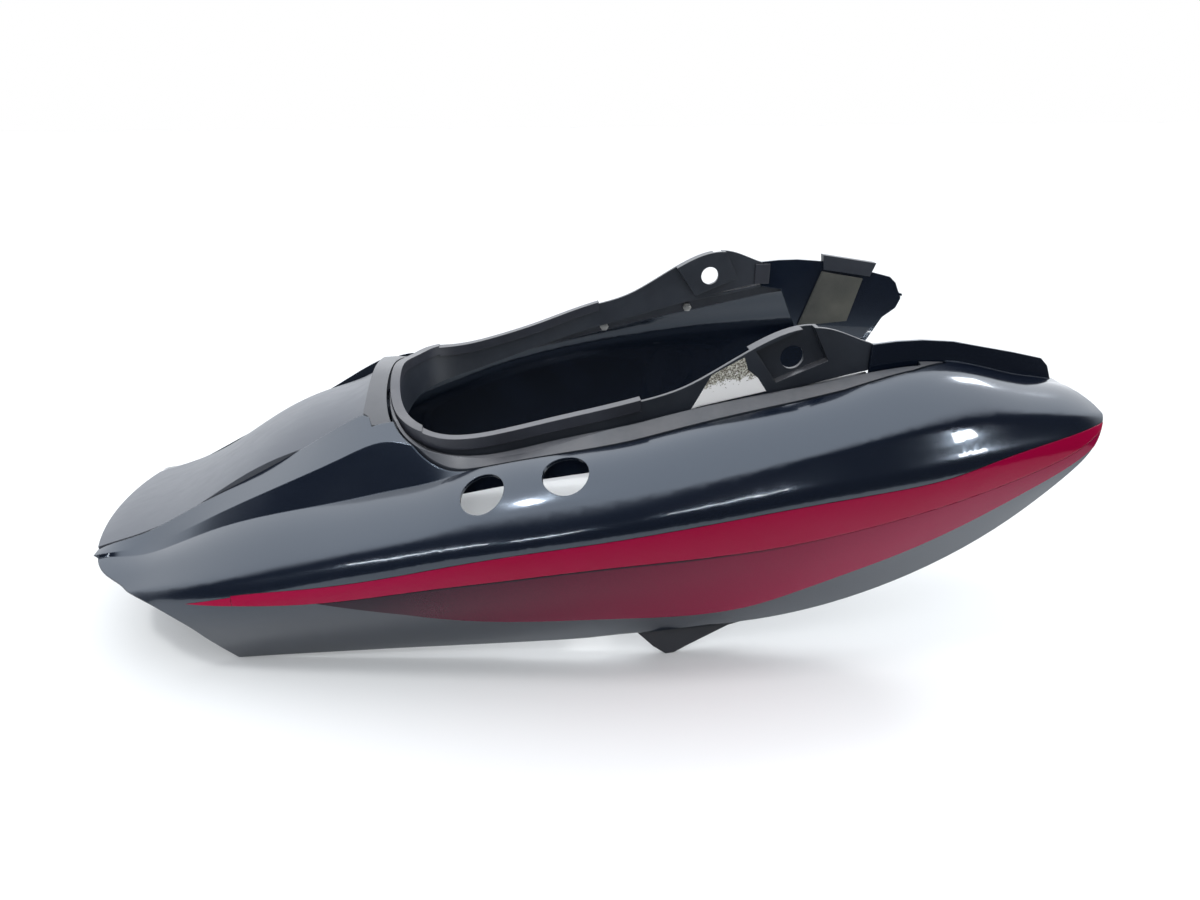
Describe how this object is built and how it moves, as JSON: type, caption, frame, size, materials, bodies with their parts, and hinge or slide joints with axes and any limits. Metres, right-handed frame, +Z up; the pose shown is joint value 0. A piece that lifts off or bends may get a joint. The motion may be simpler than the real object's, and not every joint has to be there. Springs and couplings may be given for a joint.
{
  "type": "motorcycle tail fairing",
  "caption": "Motorcycle tail fairing: two long glossy side cowls joined by a centre panel, round an open seat bay with a rim, grab-rail holes and printed stripes.",
  "frame": {"origin": "floor point under the middle of the part's length and width, as it rests nose-up on its tail corners and feet", "axes": "+X towards the front of the motorcycle, +Z up, +Y to the motorcycle's left"},
  "size_m": [0.7995, 0.424, 0.2692],
  "materials": {
    "cowl_paint": "high-gloss black paint",
    "panel_paint": "gloss black paint, dulled by dust",
    "strip_plastic": "satin black plastic",
    "rim_plastic": "semi-matt black plastic",
    "trim_rubber": "black rubber edge trim",
    "foot_plastic": "matt black plastic",
    "clip_plastic": "satin black plastic",
    "foam": "dark grey foam",
    "label": "white label stock, torn",
    "stripe_bright": "gloss red print",
    "stripe_deep": "gloss maroon to red print",
    "steel": "zinc-plated steel"
  },
  "bodies": {
    "root": {"centre_panel": "panel_paint", "bridge_strip": "strip_plastic", "seat_rim": "rim_plastic", "edge_trim": "trim_rubber", "clip_left": "clip_plastic", "foam_pad_left": "foam", "label_patch": "label", "cowl_right": "cowl_paint", "cowl_left": "cowl_paint", "foot_right": "foot_plastic", "foot_left": "foot_plastic", "stripe_upper_right": "stripe_bright", "stripe_upper_left": "stripe_bright", "stripe_lower_right": "stripe_deep", "stripe_lower_left": "stripe_deep", "seam_bolts_right": "steel", "seam_bolts_left": "steel", "seam_nuts_right": "steel", "seam_nuts_left": "steel", "rim_bolts_right": "steel", "rim_bolts_left": "steel", "rim_nuts_right": "steel", "rim_nuts_left": "steel"}
  },
  "joints": []
}
